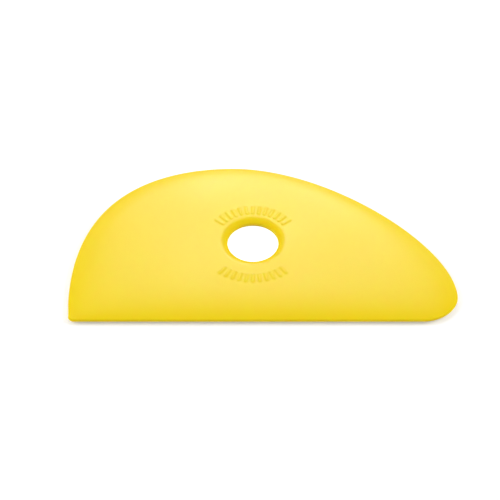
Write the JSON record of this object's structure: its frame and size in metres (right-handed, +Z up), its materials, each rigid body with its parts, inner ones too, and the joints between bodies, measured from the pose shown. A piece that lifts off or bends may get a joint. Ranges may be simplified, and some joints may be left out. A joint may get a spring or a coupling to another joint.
{
  "type": "pottery rib",
  "caption": "Soft yellow polymer potter's rib: a flat D-shaped blade with one straight edge, a curved back and a finger hole.",
  "frame": {"origin": "on the surface that the underside rests on, below the middle of the blade's length and depth", "axes": "+X along the straight edge from the square end to the nose, +Y from the straight edge to the curved back, +Z up out of the marked face, along the finger hole"},
  "size_m": [0.165, 0.089, 0.0042],
  "materials": {
    "rib_polymer": "soft satin yellow polymer, evenly coloured through"
  },
  "bodies": {
    "root": {"rib_blade": "rib_polymer"}
  },
  "joints": []
}
